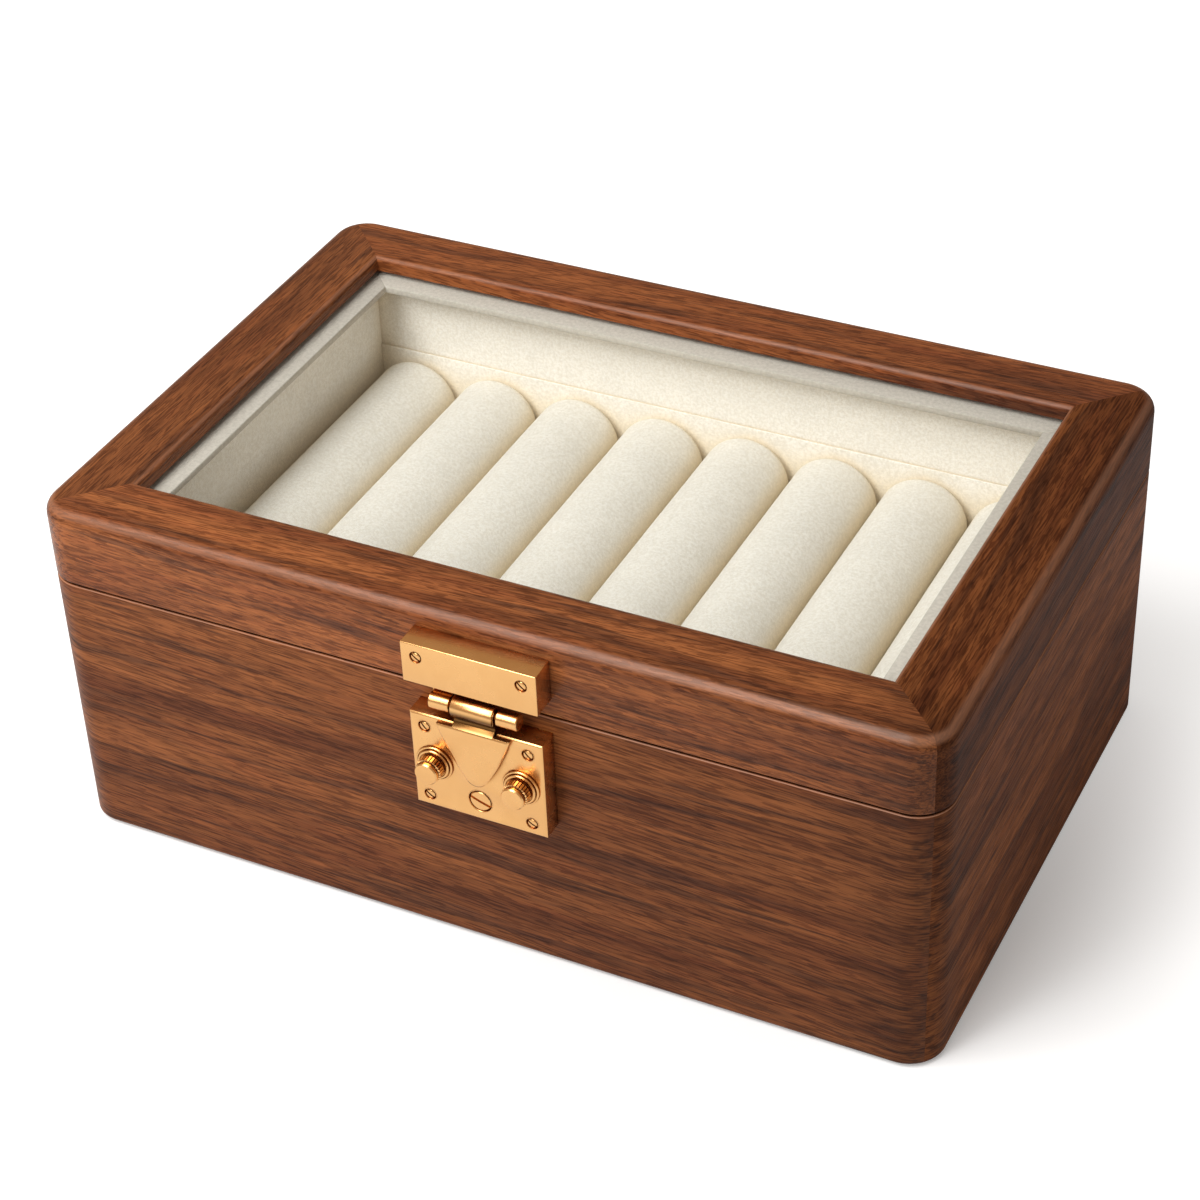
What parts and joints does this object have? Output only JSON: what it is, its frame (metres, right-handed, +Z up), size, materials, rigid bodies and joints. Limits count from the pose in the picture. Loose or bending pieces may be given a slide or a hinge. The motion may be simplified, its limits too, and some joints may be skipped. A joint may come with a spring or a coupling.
{
  "type": "bangle box",
  "caption": "Walnut jewellery box with a hinged glazed lid, a turn-lock clasp in brass and a row of padded suede rolls for bangles.",
  "frame": {"origin": "on the ground under the middle of the closed box", "axes": "+Z up, the clasp on the -Y side, +X to the right of someone facing the clasp"},
  "size_m": [0.3, 0.214, 0.125],
  "materials": {
    "walnut": "satin",
    "panel_ply": "matte",
    "core_wood": "matte",
    "suede": "soft nap",
    "roll_suede": "soft nap",
    "retainer": "matte",
    "felt": "matte",
    "glass": "clear",
    "gold_brass": "satin"
  },
  "bodies": {
    "base": {"base_front": "walnut", "base_back": "walnut", "base_left": "walnut", "base_right": "walnut", "bottom_panel": "panel_ply", "base_felt": "felt", "floor_lining": "suede", "lining_front": "suede", "lining_back": "suede", "lining_left": "suede", "lining_right": "suede", "rail_front": "suede", "rail_back": "suede", "hinge_left_lower_leaf": "gold_brass", "hinge_right_lower_leaf": "gold_brass", "hinge_pins": "gold_brass", "lock_case": "gold_brass", "lock_back_plate": "gold_brass", "lock_screws": "gold_brass", "lock_centre_screw": "gold_brass"},
    "lid": {"lid_front": "walnut", "lid_back": "walnut", "lid_left": "walnut", "lid_right": "walnut", "glass_pane": "glass", "retainer_front": "retainer", "retainer_back": "retainer", "retainer_left": "retainer", "retainer_right": "retainer", "hinge_left_upper_leaf": "gold_brass", "hinge_right_upper_leaf": "gold_brass", "clasp_block": "gold_brass", "clasp_block_screws": "gold_brass", "clasp_pin": "gold_brass"},
    "tongue": {"clasp_tongue": "gold_brass"},
    "left_turn_knob": {"left_knob": "gold_brass", "left_cam": "gold_brass"},
    "right_turn_knob": {"right_knob": "gold_brass", "right_cam": "gold_brass"},
    "bangle_roll_1": {"roll_1": "roll_suede", "core_1": "core_wood"},
    "bangle_roll_2": {"roll_2": "roll_suede", "core_2": "core_wood"},
    "bangle_roll_3": {"roll_3": "roll_suede", "core_3": "core_wood"},
    "bangle_roll_4": {"roll_4": "roll_suede", "core_4": "core_wood"},
    "bangle_roll_5": {"roll_5": "roll_suede", "core_5": "core_wood"},
    "bangle_roll_6": {"roll_6": "roll_suede", "core_6": "core_wood"},
    "bangle_roll_7": {"roll_7": "roll_suede", "core_7": "core_wood"},
    "bangle_roll_8": {"roll_8": "roll_suede", "core_8": "core_wood"}
  },
  "joints": [
    {"name": "lid_hinge", "type": "hinge", "parent": "base", "child": "lid", "pos_m": [0, 0.0974, 0.0982], "axis": [-1, 0, 0], "range_deg": [0, 95]},
    {"name": "tongue_pivot", "type": "hinge", "parent": "lid", "child": "tongue", "pos_m": [0.0075, -0.1062, 0.0982], "axis": [-1, 0, 0], "range_deg": [0, 125]},
    {"name": "left_knob_turn", "type": "hinge", "parent": "base", "child": "left_turn_knob", "pos_m": [-0.007, -0.1075, 0.0748], "axis": [0, 1, 0], "range_deg": [0, 60]},
    {"name": "right_knob_turn", "type": "hinge", "parent": "base", "child": "right_turn_knob", "pos_m": [0.022, -0.1075, 0.0748], "axis": [0, -1, 0], "range_deg": [0, 60]},
    {"name": "roll_1_lift", "type": "slide", "parent": "base", "child": "bangle_roll_1", "axis": [0, 0, 1], "range_m": [0, 0.025]},
    {"name": "roll_2_lift", "type": "slide", "parent": "base", "child": "bangle_roll_2", "axis": [0, 0, 1], "range_m": [0, 0.025]},
    {"name": "roll_3_lift", "type": "slide", "parent": "base", "child": "bangle_roll_3", "axis": [0, 0, 1], "range_m": [0, 0.025]},
    {"name": "roll_4_lift", "type": "slide", "parent": "base", "child": "bangle_roll_4", "axis": [0, 0, 1], "range_m": [0, 0.025]},
    {"name": "roll_5_lift", "type": "slide", "parent": "base", "child": "bangle_roll_5", "axis": [0, 0, 1], "range_m": [0, 0.025]},
    {"name": "roll_6_lift", "type": "slide", "parent": "base", "child": "bangle_roll_6", "axis": [0, 0, 1], "range_m": [0, 0.025]},
    {"name": "roll_7_lift", "type": "slide", "parent": "base", "child": "bangle_roll_7", "axis": [0, 0, 1], "range_m": [0, 0.025]},
    {"name": "roll_8_lift", "type": "slide", "parent": "base", "child": "bangle_roll_8", "axis": [0, 0, 1], "range_m": [0, 0.025]}
  ]
}
